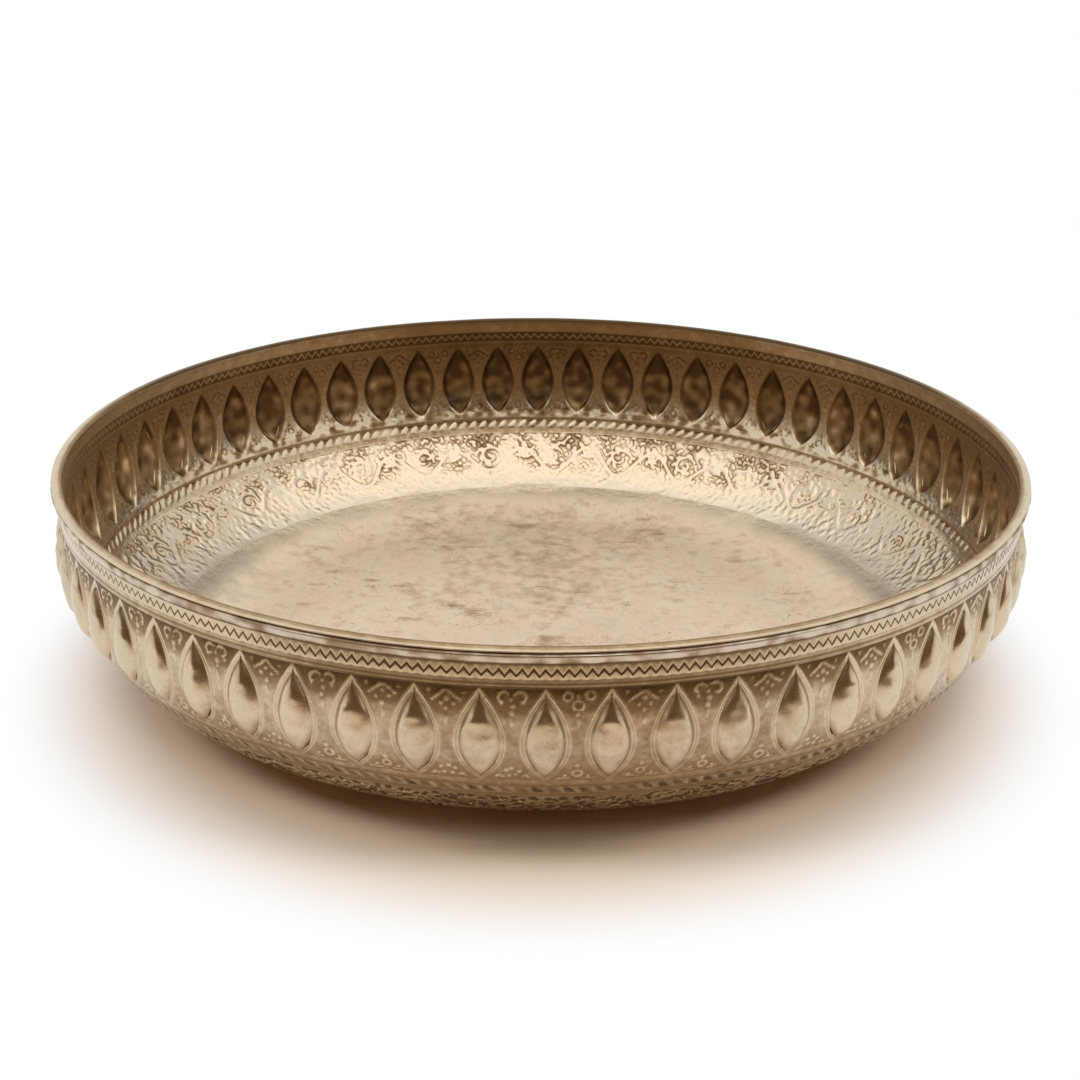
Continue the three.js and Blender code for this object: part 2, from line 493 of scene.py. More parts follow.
def mouthRing():
    columns = mouth["zigzags"] * mouth["columnsEach"]
    angle = np.linspace(0, 2 * math.pi, columns + 1)
    angle = angle - mouth["crowding"] * np.sin(angle)
    phase = np.arange(columns + 1) % mouth["columnsEach"] / mouth["columnsEach"]
    jitter = random.Random(3)
    wander = np.array([jitter.uniform(*mouth["swings"]) for _ in range(mouth["zigzags"])])
    wander = np.append(np.repeat(wander, mouth["columnsEach"]), wander[0])
    kept = 1 - mouth["wearAndSheen"] * np.exp(-(((angle - mouth["wornAt"]) / mouth["wornReach"]) ** 2))
    swing = mouth["zigzagSwing"] * (4 * np.abs(phase - 0.5) - 1) * wander
    low, high = mouth["zigzagLow"], mouth["zigzagHigh"]
    middle = (low + high) / 2 + swing
    groove = mouth["zigzagHalfWidth"]
    under = bowlHeight - sheet["lipThickness"] - sheet["corner"]
    rows, lifts, dirts, backs = [], [], [], []

    def row(height, lift=0.0, dirt=0.0, back=0.0):
        for values, value in ((rows, height), (lifts, lift), (dirts, dirt), (backs, back)):
            values.append(np.broadcast_to(value, angle.shape) * 1.0)

    def tooth(start, end, dirt):
        # small raised triangles between a straight edge and the zigzag
        least, more = mouth["toothSlope"]
        for share in (0.2, 0.8):
            tall = np.minimum(end - start, 1) * wander
            lift = mouth["toothRise"] * tall * kept * (least + more * share)
            row(start + (end - start) * share, lift, dirt, mouth["backDirt"] * tall * kept)

    strip = mouth["stripDirt"]
    for height in mouth["ledge"]:
        carved = -mouth["grooveDepth"] * ridge(height - mouth["grooveAt"], mouth["grooveHalfWidth"])
        line = ridge(height - mouth["lineAt"], mouth["lineHalfWidth"])
        row(height, carved + mouth["lineRise"] * line, strip + mouth["lineDirt"] * line, mouth["ledgeBack"])
    dirt, (lower, upper) = mouth["zigzagDirt"], mouth["sideDirt"]
    row(low, 0.0, 2 * strip)
    tooth(low, middle - groove, mouth["toothDirt"][0])
    row(middle - groove, mouth["toothRise"] * kept, lower * dirt)
    row(middle, -mouth["zigzagDepth"] * kept, dirt * kept, mouth["zigzagBack"] * mouth["backDirt"])
    row(middle + groove, mouth["upperSide"] * kept, upper * dirt)
    tooth(middle + groove, high, mouth["toothDirt"][1])
    row(high, mouth["edgeRise"], strip)
    for height, lift, dirt in mouth["neck"]:
        row(height, lift, dirt)
    row(under)
    runs = runAt(np.stack(rows))
    # round under the lip and out along it, which thins the sheet, and then round its edge
    nose, end = mouth["nose"], section["run"][-1]
    start = runs[-1, 0]
    curve = math.pi / 2 * sheet["corner"]
    lipRuns = [start + curve * step / mouth["cornerSteps"] for step in range(1, mouth["cornerSteps"] + 1)]
    lipRuns += list(np.linspace(lipRuns[-1], end - nose, mouth["lipSteps"] + 1)[1:])
    pinches = [0.0] * len(lipRuns)
    for step in range(1, mouth["noseSteps"] + 1):
        turn = math.pi / 2 * step / mouth["noseSteps"]
        lipRuns.append(end - nose + nose * math.sin(turn))
        pinches.append(mouth["nosePinch"] * nose * (1 - math.cos(turn)))
    lip = np.repeat(np.array(lipRuns)[:, None], columns + 1, 1)
    run = np.concatenate([runs, lip])
    lift = np.concatenate([np.stack(lifts), 0 * lip])
    # painted shade: the lip's top is darker at the back of the bowl and by its inner edge
    lipShade = mouth["lipBackShade"] * clamped(-mouth["lipBackSpread"] * np.cos(angle))[None, :] + 0 * lip
    lipShade[:mouth["lipInnerRows"]] += mouth["lipInnerShade"]
    dirt, back = np.concatenate([np.stack(dirts), 0 * lip]), np.concatenate([np.stack(backs), lipShade])
    pinch = np.concatenate([0 * runs, np.repeat(np.array(pinches)[:, None], columns + 1, 1)])
    thin = (sheet["thickness"] - sheet["lipThickness"]) * (1 - alongSection(run, "outR"))
    droop = sheet["lipDroop"] * clamped((run - start) / (end - start))
    angle = np.repeat(angle[None, :], run.shape[0], 0)
    fade = clamped((run - run[0]) / 0.3)
    lift = (lift + hammered(angle, run, *sheet["waves"])) * fade
    return ringOf(angle, run, (lift, blurred(lift, 1)), (dirt, back), thinned=(pinch, pinch + thin + droop))


wallPieces("mouth_wall", mouthRing(), mouth["arcs"], roundTop=True)


# The petals: domed pointed ovals, each with two raised lines round it, and the flowers between them
petals = {
    "bottom": 30, "top": 57,  # heights of the lower and upper tips
    "halfWidth": 6.5,  # of the outer line's edge
    "lowerFullness": 0.89,  # below 1 the widest place is under the middle
    "widths": (0.97, 1.02), "rises": (0.88, 1.08), "shift": 0.15,  # how they differ
    "lineCrests": (0.34, 1.16), "lineHalfWidth": 0.36, "lineRise": 0.11, "innerGroove": 0.05,
    "domeInset": 1.4, "domeRise": 2.05, "domePower": 3.0,
    # a slope at a tip: the share of the petal's height at which it ends, its length and its power
    "domeTop": (0.96, 0.27, 1.1), "domeFoot": (0.04, 0.3, 2),
    "hollowTop": (0.99, 0.3, 1.5), "hollowFoot": (0.02, 0.18, 2),
    "hollowInset": 0.1, "hollowSpread": 1.03, "hollowPower": 3,  # on the inside a petal is a wider hollow
    "facets": (4.2, 0.5), "dents": (4.5, 0.28),  # size and depth of the hammer's marks on the domes
    "grain": (1.3, 0.07),  # and of the ground's
    "dome": (0, 0.2, 0.4, 0.58, 0.75, 0.88, 0.96, 1),  # columns as shares of the dome
    "lines": (0.1, 0.22, 0.34, 0.46, 0.56, 0.66, 0.77, 0.88, 1),  # columns as shares of the two lines
    "ground": 14,  # columns from the outer line to the middle between two petals
    "rows": 50,
    "arcs": (0, 15, 29, 44, 58),  # petals at which the ring is parted
}
petalDirt = {
    # outside
    "ground": 0.04, "groundTopShade": 0.28, "strokes": 0.4, "strokeHeight": 0.12,
    "dome": -0.03, "domeTipShade": 0.14, "tipEdgeShade": 0.20,
    # inside, where the wall is scuffed bright under a height
    "tarnishAndShade": 0.12, "hollowTip": 0.10, "hollowFoot": 0.25, "blotches": (4, 0.275), "hollowRim": 0.16,
    "scuffedUnder": 37, "scuffs": (3, 0.40), "scuffedRim": 0.10,
}


def placesFrom(x, y, up, jitter):
    # a function that gives the place of a motif's point, a little off as a punch held by hand lands
    def at(across, along):
        return x + across + jitter.uniform(-0.25, 0.25), y + up * along + jitter.uniform(-0.25, 0.25)

    return at


def flowerAbove(chasing, x, top, jitter):
    # a small flower hung under the border, between two petals
    at = placesFrom(x, top, -1, jitter)

    def stroke(points, halfWidth, height, taper=0.45):
        chasing.stroke([at(*point) for point in points], halfWidth, height, taper)

    def blobs(*places):
        for across, along, halfWidth in places:
            chasing.boss(*at(across, along), halfWidth * jitter.uniform(0.85, 1.2), 0.14)

    kind = jitter.random()
    if kind < 0.4:
        for side in (-1, 1):
            petal = ((0.5, 1.6), (1.4, 0.8), (3.2, 1.2), (3.4, 3.0), (2.0, 3.3))
            stroke([(across * side, along) for across, along in petal], 0.55, 0.19)
            blobs((2.6 * side, 3.9, 0.6))
        blobs((0, 3.0, 0.55), (0.2, 5.0, 0.9), (0, 6.6, 0.7))
    elif kind < 0.75:
        stroke([(-3.6, 3.6), (-1.6, 2.2), (0, 0.8), (1.6, 2.2), (3.6, 3.6)], 0.55, 0.19, 0.7)
        blobs((0, 3.2, 0.8), (-1.5, 4.6, 0.6), (1.6, 4.5, 0.65), (0.1, 6.2, 0.7))
        blobs((-4.2, 1.4, 0.5), (4.2, 1.5, 0.5))
    else:
        for across, along, size in ((-2.7, 1.9, 1.1), (2.7, 1.9, 1.1), (0, 4.4, 1.3)):
            chasing.ring(*at(across, along), size, 0.45, 0.16)
        blobs((0, 2.0, 0.6), (0.1, 7.0, 0.6))
    stroke([(0, 8.0), (0.1, 9.0), (0, 10.4)], 0.6, 0.14, 0.2)


def budBelow(chasing, x, bottom, jitter):
    # a bud above the ledge
    at = placesFrom(x, bottom, 1, jitter)
    size = jitter.uniform(0.9, 1.1)
    if jitter.random() < 0.5:
        chasing.ring(*at(0, 3.2), 1.05 * size, 0.5, 0.22)
        chasing.boss(*at(0, 5.6), 0.75, 0.2)
        for side in (-1, 1):
            chasing.boss(*at(2.8 * side, 2.0), 0.55, 0.26)
            chasing.stroke([at(1.6 * side, 1.2), at(3.2 * side, 1.1), at(4.6 * side, 1.4)], 0.4, 0.2, 0.5)
    else:
        for turn in range(5):
            away = math.pi * (0.5 + 0.4 * turn)
            chasing.boss(*at(1.75 * size * math.cos(away), 3.4 + 1.5 * math.sin(away)), 0.68, 0.2)
        for side in (-1, 1):
            chasing.stroke([at(2.4 * side, 1.6), at(3.6 * side, 2.3), at(4.4 * side, 1.2)], 0.42, 0.24, 0.5)


def facets(angle, run):
    # shallow dimples side by side, as the hammer leaves them
    size, depth = petals["facets"]
    return depth * acrossSheet(angle, run, size, lambda point: noise.voronoi(point)[0][0]) ** 2


def tipSlopes(share, top, foot):
    # how far into the slopes at its tips each share of a petal's height lies, and how full the petal is there
    (topEnd, topLength, topPower), (footEnd, footLength, footPower) = petals[top], petals[foot]
    slope = clamped(1 - (topEnd - share) / topLength)
    rise = clamped(1 - (share - footEnd) / footLength)
    return slope, rise, (1 - slope**topPower) * (1 - rise**footPower)


def petalRing():
    count, rows = sheet["petals"], petals["rows"]
    low, high = runAt(petals["bottom"]), runAt(petals["top"])
    share = np.linspace(0, 1, rows + 1)[:, None]
    run = low + (high - low) * share
    radius = alongSection(run, "radius")
    skew = share ** petals["lowerFullness"]
    fullness = 4 * skew * (1 - skew)
    half = math.pi * radius / count
    jitter = random.Random(11)
    slope, foot, domeFull = tipSlopes(share, "domeTop", "domeFoot")
    _, _, hollowFull = tipSlopes(share, "hollowTop", "hollowFoot")
    ground = np.linspace(0, 1, petals["ground"] + 1)[None, 1:]
    asides, lifts, domes, hollows, insides = [], [], [], [], []
    for _ in range(count):
        halfWidth = petals["halfWidth"] * jitter.uniform(*petals["widths"])
        rise = petals["domeRise"] * jitter.uniform(*petals["rises"])
        shift = jitter.uniform(-petals["shift"], petals["shift"])
        edge = halfWidth * fullness
        lean = np.sqrt(1 + np.gradient(edge[:, 0], run[:, 0])[:, None] ** 2)
        domeEdge = edge - petals["domeInset"] * lean
        dome = np.maximum(domeEdge, 0.4)  # the columns keep apart at the tips
        outer = np.maximum(edge, dome + 0.7)
        inner = dome * np.array(petals["dome"])[None, :]
        lines = dome + (outer - dome) * np.array(petals["lines"])[None, :]
        sides = []
        for side in (-1, 1):
            beyond = (shift + side * outer) * (1 - ground) + side * half * ground
            sides.append(np.concatenate([shift + side * inner, shift + side * lines, beyond], 1))
        aside = np.concatenate([sides[0][:, :0:-1], sides[1]], 1)
        away = np.abs(aside - shift)
        inside = (edge - away) / lean  # distance inside the outer line's edge, measured square to it
        crests = [ridge(inside - crest, petals["lineHalfWidth"]) for crest in petals["lineCrests"]]
        lift = sum(petals["lineRise"] * crest for crest in crests)
        lift = lift - petals["innerGroove"] * ridge(inside - petals["domeInset"], 0.3)
        dome = rise * domeFull * (1 - clamped(away / np.maximum(domeEdge, 0.01)) ** petals["domePower"])
        hollowEdge = np.maximum(petals["hollowSpread"] * edge - petals["hollowInset"] * lean, 0.01)
        asides.append(aside)
        lifts.append(lift + dome)
        domes.append(dome)
        hollows.append(rise * hollowFull * (1 - clamped(away / hollowEdge) ** petals["hollowPower"]))
        insides.append(inside)
    each = asides[0].shape[1] - 1

    def joined(parts):
        return np.concatenate([part[:, :-1] for part in parts] + [parts[0][:, -1:]], 1)

    angle = joined([aside / radius + 2 * math.pi * number / count for number, aside in enumerate(asides)])
    angle[:, -1] = angle[:, 0] + 2 * math.pi
    lift, domes, hollows, inside = joined(lifts), joined(domes), joined(hollows), joined(insides)
    for values in (lift, domes, hollows, inside):
        values[:, -1] = values[:, 0]
    run = np.repeat(run, angle.shape[1], 1)
    flatRadius = float(radius[rows // 2, 0])
    chasing = Chasing(2 * math.pi * flatRadius)
    for number in range(count):
        x = (number + 0.5) * 2 * math.pi * flatRadius / count
        flowerAbove(chasing, x, high, jitter)
        budBelow(chasing, x, low, jitter)
    ground = clamped(-inside / 0.3)
    onDome = clamped((inside - petals["domeInset"] - 0.3) / 1.5)
    strokes = chasing.lift(angle * flatRadius, run) * ground
    fine = strokes + hammered(angle, run, *petals["grain"]) * ground + lift - domes
    plain = fine * (1 - clamped((inside + 0.3) / 0.4))  # the outer lines don't show in the hollows
    marks = (facets(angle, run) + hammered(angle, run, *petals["dents"])) * onDome
    marks = marks + hammered(angle, run, *sheet["waves"])
    fade = endFade(run, 0.5)
    outside = blurred((domes + fine + marks) * fade, 1)
    within = blurred((hollows + 0.35 * marks + plain) * fade, 2)
    dirt = petalTarnish(angle, run, inside, slope, foot, strokes, ground, onDome)
    return ringOf(angle, run, (outside, within), dirt, (0.6 * fine, plain)), each


def petalTarnish(angle, run, inside, slope, foot, strokes, ground, onDome):
    # painted shade: the ground is darkest under the upper border, and the domes at their tips
    upper = clamped((run - run[0]) / (run[-1] - run[0]) * 3.2 - 2.2)
    bare = ground * (1 - (1 - petalDirt["strokes"]) * clamped(strokes / petalDirt["strokeHeight"]))
    outer = (petalDirt["ground"] + petalDirt["groundTopShade"] * upper) * bare
    outer = outer + (petalDirt["domeTipShade"] * slope + petalDirt["dome"]) * onDome
    outer = outer + petalDirt["tipEdgeShade"] * ridge(inside - petals["domeInset"] - 0.5, 1.2) * slope
    # the hollows of the inside are darkest at their rims, tips and feet
    rim = ridge(inside - petals["hollowInset"] - 0.4, 1.2) * (0.5 + 0.5 * upper)
    inner = petalDirt["tarnishAndShade"] + petalDirt["hollowTip"] * slope + petalDirt["hollowFoot"] * foot
    inner = inner + hammered(angle, run, *petalDirt["blotches"])
    inner = inner * clamped((inside - petals["hollowInset"]) / 1.2) + petalDirt["hollowRim"] * rim
    # low on the inside the wall is scuffed bright in places, most of all round the hollows' lower ends
    lowest = clamped((petalDirt["scuffedUnder"] - alongSection(run, "height")) / 6)
    scuffs = hammered(angle, run, *petalDirt["scuffs"]) + petalDirt["scuffedRim"] * ridge(inside + 0.4, 0.7)
    return outer, inner - lowest * scuffs


petalWalls, columnsEach = petalRing()
wallPieces("petal_wall", petalWalls, petals["arcs"], columnsEach)


# The ledge under the petals and the border of slanted teeth
border = {
    "heights": (
        22.8, 23.2, 23.7, 24.0, 24.3, 24.6, 25.0, 25.4, 25.8, 26.2, 26.5, 26.8, 27.1, 27.35, 27.6, 27.85,
        28.1, 28.5, 29.0, 29.5, 30.0,
    ),
    "low": 24.6, "high": 27.4,  # the teeth
    "teeth": 224, "columnsEach": 8,
    "slant": -0.45,  # of a tooth's pitch, from its foot to its tip
    "foot": 0.8, "tip": 0.45,  # half widths, as shares of half the pitch
    "rise": 0.24, "rises": (0.5, 1.25),  # the least and the most share of it
    "stepAt": 28, "step": 0.04,  # the ledge above the teeth stands in a little
    "grain": (1.5, 0.07),
    # outside, dirt in the teeth's pits and painted shade along the two edges; inside, tarnish and painted
    # shade between the teeth, and painted shade over them
    "edgesAt": (27.85, 24.2), "pitDirt": 0.16, "edgeDirtAndShade": (0.12, 0.10),
    "betweenTarnishAndShade": 0.30, "overShade": 0.20,
    "scuffedAt": 29.5, "scuffs": (3, 0.36),
}


def borderRing():
    columns = border["teeth"] * border["columnsEach"]
    height = np.array(border["heights"])[:, None]
    climb = clamped((height - border["low"]) / (border["high"] - border["low"]))
    pitch = 2 * math.pi / border["teeth"]
    base = np.linspace(0, 2 * math.pi, columns + 1)[None, :]
    angle = base + border["slant"] * pitch * (climb - 0.5)
    phase = np.abs(np.arange(columns + 1) % border["columnsEach"] / border["columnsEach"] - 0.5)[None, :] * 2
    jitter = random.Random(8)
    tall = np.array([jitter.uniform(*border["rises"]) for _ in range(border["teeth"])])
    tall = np.append(np.repeat(tall, border["columnsEach"]), tall[0])[None, :]
    halfWidth = border["foot"] + (border["tip"] - border["foot"]) * climb
    bead = np.sqrt(clamped(1 - (phase / halfWidth) ** 2)) * np.sin(np.pi * climb) ** 0.5
    ledge = clamped((height - border["stepAt"]) / 0.4) * (petals["bottom"] - height) / 2
    run = np.repeat(runAt(height), columns + 1, 1)
    uneven = np.clip(0.7 + hammered(angle, run, 6, 1.6), 0.1, 1.3)
    over, under = (ridge(height - edge, 0.5) for edge in border["edgesAt"])
    overShade, underShade = border["edgeDirtAndShade"]
    # dirt in the pits, and painted shade along the two edges
    pits = border["pitDirt"] * bead * uneven + overShade * over + underShade * under
    # tarnish and painted shade between the teeth, most towards their tips
    between = border["betweenTarnishAndShade"] * clamped(1 - bead * 2) * climb**1.5 * (climb < 1) * uneven
    # painted shade over the teeth
    between = between + border["overShade"] * over
    between = between - ridge(height - border["scuffedAt"], 1.5) * hammered(angle, run, *border["scuffs"])
    fine = hammered(angle, run, *border["grain"]) - border["rise"] * bead * tall - border["step"] * ledge
    lift = (fine + hammered(angle, run, *sheet["waves"])) * endFade(run, 0.4)
    return ringOf(angle, run, (blurred(lift, 1), lift), (pits, between), (fine, fine))


dress(sheetPiece("toothed_border", borderRing()), "bowl_shell", wallSilver)


# The scroll frieze on the round of the wall. It is worked from the outside, so it stands up on the inside.
scroll = {
    "bottom": 7, "top": 22.8,
    "clear": (1.6, 0.3),  # plain metal under and over the scrolls
    "waves": 32,  # of the stem, round the bowl
    "swing": 5.5, "swingChange": 0.12,
    "middle": 0.8,  # how far the stem runs over the frieze's middle
    "spiralRadius": (3.8, 5.0), "spiralEnd": 1.3, "spiralDrop": 1.6, "fanSize": (3.4, 4.4),
    "leavesAt": (-5.0, -2.0, 1.4, 4.4),  # of the stem, from the middle of each half wave
    "stem": 0.85, "branch": 0.8, "rise": 0.5,
    "wearAndSheen": (9, 17, 0.4),  # between these heights the relief of the inside falls to this share
    "outerDepth": 1.3, "innerDepth": 0.7,
    "grain": (1.6, 0.03), "dents": (9, 0.16),
    "fillTries": 9000, "fillGap": 0.7,
    "columns": 2240, "rows": 52,
    "arcs": (0, 560, 1120, 1680, 2240),
    "outerEdgeDirt": 0.17, "outerDirt": -0.04,
    "edgeDirtAndShade": 0.19, "recessDirt": 0.15,  # of the inside, along the strokes' edges and between them
}


def leaf(chasing, x, y, direction, length, halfWidth, bend=0.0):
    points = []
    for step in range(4):
        reach = length * step / 3
        turn = direction + bend * step / 3
        points.append((x + reach * math.cos(turn), y + reach * math.sin(turn)))
    chasing.stroke(points, halfWidth, scroll["rise"] * 0.9, 0.3)


def fan(chasing, x, y, size, jitter):
    # a broad leaf of five lobes, open upwards, over a curled edge
    tilt = jitter.uniform(-0.3, 0.3)
    for turn, length in ((-1.1, 0.8), (-0.55, 0.95), (0.0, 1.0), (0.55, 0.95), (1.1, 0.8)):
        direction = math.pi / 2 + tilt + turn
        leaf(chasing, x + 0.5 * turn, y, direction, size * length, 0.26 * size, 0.25 * turn)
    turns = np.linspace(-0.3, 3.4, 12)
    edge = [(x + size * 1.25 * math.cos(turn), y + size * 0.95 * math.sin(turn)) for turn in turns]
    chasing.stroke(edge, 0.45, scroll["rise"], 0.5)


def spiral(chasing, x, middle, side, jitter):
    # one branch of the stem, curled under its crest, with leaves on its outer side and a flower in it
    centreY = middle - side * scroll["spiralDrop"] + jitter.uniform(-0.8, 0.8)
    tilt = jitter.uniform(-0.5, 0.5)
    first = jitter.uniform(*scroll["spiralRadius"])
    turns = jitter.uniform(0.85, 1.15)
    flat = jitter.uniform(0.85, 1.1)

    def at(share):
        turn = math.pi + tilt + share * 2 * math.pi * turns
        reach = first * (1 - share) + scroll["spiralEnd"] * share
        return x + reach * math.cos(turn), centreY + side * flat * reach * math.sin(turn), turn

    chasing.stroke([at(step / 26)[:2] for step in range(27)], scroll["branch"], scroll["rise"], 0.7)
    for number in range(5):
        px, py, turn = at(0.08 + 0.13 * number)
        outward = math.atan2(side * math.sin(turn), math.cos(turn)) + side * jitter.uniform(0.5, 1.0)
        leaf(chasing, px, py, outward, jitter.uniform(2.2, 3.6), jitter.uniform(0.9, 1.3), side * 0.6)


def fillWithLeaves(chasing, low, high, jitter):
    # short leaves wherever the ground between the scrolls is still open
    cell, gap = 0.5, scroll["fillGap"]
    wide, tall = int(chasing.around / cell), int((high - low) / cell)
    free = np.ones((wide, tall), bool)

    def cover(x, y, half):
        reach = half + gap
        first, last = int((y - low - reach) / cell), int((y - low + reach) / cell) + 2
        along = np.arange(max(0, first), min(tall, last))
        across = np.arange(int((x - reach) / cell), int((x + reach) / cell) + 2)
        near = np.hypot(across[:, None] * cell - x, along[None, :] * cell + low - y) < reach
        free[(across % wide)[:, None], along[None, :]] &= ~near

    for x, y, half, _ in chasing.marks:
        cover(x, y, half)
    for _ in range(scroll["fillTries"]):
        x, y = jitter.uniform(0, chasing.around), jitter.uniform(low, high)
        ragged = (y - low) / 4 < jitter.random()
        if ragged or not free[int(x / cell) % wide, min(tall - 1, int((y - low) / cell))]:
            continue
        before = len(chasing.marks)
        length, direction = jitter.uniform(0.6, 2.4), jitter.uniform(0, 2 * math.pi)
        leaf(chasing, x, y, direction, length, jitter.uniform(0.6, 1.0), jitter.uniform(-1, 1))
        for px, py, half, _ in chasing.marks[before:]:
            cover(px, py, half)


def stemAndLeaves(chasing, middle, jitter):
    wave = chasing.around / scroll["waves"]
    steps = scroll["waves"] * 16
    stem = []
    for step in range(steps + 1):
        x = chasing.around * step / steps
        swing = scroll["swing"] * (1 + scroll["swingChange"] * math.sin(14 * math.pi * x / chasing.around))
        stem.append((x, middle + swing * math.sin(2 * math.pi * x / wave)))
    for x, y in smoothLine(stem)[0]:
        chasing.boss(x, y, scroll["stem"], scroll["rise"])
    for number in range(2 * scroll["waves"]):
        side = 1 if number % 2 == 0 else -1
        x = (number + 0.5) * wave / 2
        if side > 0:
            fanX, fanY = x + jitter.uniform(-1, 1), middle + 1.2 + jitter.uniform(-0.5, 0.5)
            fan(chasing, fanX, fanY, jitter.uniform(*scroll["fanSize"]), jitter)
        else:
            spiral(chasing, x + jitter.uniform(-0.8, 0.8), middle, side, jitter)
        for along in scroll["leavesAt"]:
            px = x + along + jitter.uniform(-0.5, 0.5)
            py = middle + side * scroll["swing"] * abs(math.sin(2 * math.pi * px / wave))
            direction = side * jitter.uniform(0.4, 1.2)
            leaf(chasing, px, py, direction, jitter.uniform(2.4, 4.0), jitter.uniform(0.9, 1.4), side * 0.5)


def scrollRing():
    low, high = runAt(scroll["bottom"]), runAt(scroll["top"])
    angle, run = evenNet(low, high, scroll["columns"], scroll["rows"])
    middle = (low + high) / 2 + scroll["middle"]
    flatRadius = float(alongSection(middle, "radius"))
    chasing = Chasing(2 * math.pi * flatRadius, 3)
    jitter = random.Random(5)
    stemAndLeaves(chasing, middle, jitter)
    plainLow, plainHigh = scroll["clear"]
    fillWithLeaves(chasing, low + plainLow, high - plainHigh, jitter)
    strokes = chasing.lift(angle * flatRadius, run, 6)
    wornLow, wornHigh, least = scroll["wearAndSheen"]
    height = alongSection(run, "height")
    wear = least + (1 - least) * clamped((height - wornLow) / (wornHigh - wornLow))
    wear = wear * np.clip(0.85 + hammered(angle, run, 11, 0.9), 0.35, 1.2)
    fade = clamped(np.minimum((run - low) / plainLow, (high - run) / plainHigh))
    grain = hammered(angle, run, *scroll["grain"])
    # the outside keeps its full relief, and the inside is worn
    reliefs = scroll["outerDepth"] * strokes, scroll["innerDepth"] * blurred(strokes, 1) * wear
    outerFine, innerFine = ((grain - relief) * fade for relief in reliefs)
    dents = hammered(angle, run, *scroll["dents"]) * fade
    # dirt lies along the edges of the strokes and between them, more in some places than in others
    patchy = np.clip(0.9 + hammered(angle, run, 8, 0.9), 0.5, 1.4)
    steep = clamped(np.hypot(*np.gradient(strokes)) / 0.15) * patchy
    recesses = clamped((blurred(strokes, 10) - strokes) / 0.05) * patchy
    outer = scroll["outerEdgeDirt"] * steep + scroll["outerDirt"]
    inner = (scroll["edgeDirtAndShade"] * steep + scroll["recessDirt"] * recesses) * np.clip((height - 6) / 9, 0.3, 1)
    lifts = outerFine + dents, innerFine + dents
    return ringOf(angle, run, lifts, (outer, inner), (outerFine, 0.5 * innerFine))


wallPieces("scroll_wall", scrollRing(), scroll["arcs"])


# The plain floor
floorDisc = {
    "top": 7.0, "columns": 360, "rows": 72,
    "dents": (17, 0.14), "smallDents": (6, 0.06),  # size and depth
    "sunk": 0.14, "sunkOver": 4,
}


def floorRing():
    high = runAt(floorDisc["top"])
    angle, run = evenNet(0, high, floorDisc["columns"], floorDisc["rows"])
    lift = hammered(angle, run, *floorDisc["dents"]) + hammered(angle, run, *floorDisc["smallDents"])
    lift = (lift - floorDisc["sunk"]) * clamped((high - run) / floorDisc["sunkOver"])
    return ringOf(angle, run, (lift, lift))


def floorPiece():
    piece = sheetPiece("bowl_floor", floorRing())
    bm = bmesh.new()
    bm.from_mesh(piece.data)
    # the first row has shrunk to one point on each side
    middle = [vert for vert in bm.verts if math.hypot(vert.co.x, vert.co.y) < 0.1 * mm]
    bmesh.ops.remove_doubles(bm, verts=middle, dist=0.01 * mm)
    bm.to_mesh(piece.data)
    bm.free()
    return piece


dress(floorPiece(), "bowl_shell", floorSilver)


# The half-round band under the lip
band = {
    "columns": 696,
    "gap": 0.3, "topGap": 0.04,  # to the neck and to the lip
    # its face: shares of the way out from its back to its crest, and of the way up
    "face": (
        (0.5, 0), (0.6, 0.02), (0.7, 0.1), (0.79, 0.25), (0.88, 0.42), (0.96, 0.56), (1, 0.66), (0.995, 0.76),
        (0.95, 0.80), (0.78, 0.87), (0.6, 0.93), (0.3, 0.97),
    ),
    "waver": 0.09, "waverSize": 6,
    "streaks": 0.35, "streakSize": 4,  # of dirt
}


def rimBand():
    back = mouthRadius - sheet["lipOverhang"] + band["gap"]
    top, bottom, crest = bandHigh.z / mm - band["topGap"], bandLow.z / mm, bandHigh.x / mm
    face, _ = smoothLine(band["face"], 0.06)
    points = [(back + (crest - back) * out, bottom + (top - bottom) * up) for out, up in face]
    points = [(back, bottom), *points, (back, top)]
    bm = bmesh.new()
    verts = [bm.verts.new((0, -radius * mm, height * mm)) for radius, height in points]
    edges = [bm.edges.new(pair) for pair in zip(verts, verts[1:] + verts[:1])]
    bmesh.ops.spin(
        bm, geom=verts + edges, cent=(0, 0, 0), axis=(0, 0, 1), angle=2 * math.pi,
        steps=band["columns"], use_merge=True,
    )
    layer = bm.verts.layers.float.new("tarnishAndShade")
    for vert in bm.verts:
        radius = math.hypot(vert.co.x, vert.co.y)
        proud = (radius / mm - back) / (crest - back)
        if proud > 0.3:
            waver = band["waver"] * noise.noise(vert.co / (band["waverSize"] * mm)) * mm
            vert.co.x *= 1 + waver / radius
            vert.co.y *= 1 + waver / radius
        share = (vert.co.z / mm - bottom) / (top - bottom)
        streaky = band["streaks"] * noise.noise(vert.co / (band["streakSize"] * mm))
        # tarnish with painted shade, thickest along the lower and upper edges and towards the back by the neck
        edges = 3 * max(0, 0.24 - share) + 1.4 * max(0, share - 0.76)
        vert[layer] = streaky + 0.25 * max(0, 0.9 - proud) + edges
    bmesh.ops.recalc_face_normals(bm, faces=bm.faces)
    for face in bm.faces:
        face.smooth = True
    return finishedPiece("rim_band_half_round", bm)


dress(rimBand(), "rim_band", bandSilver)


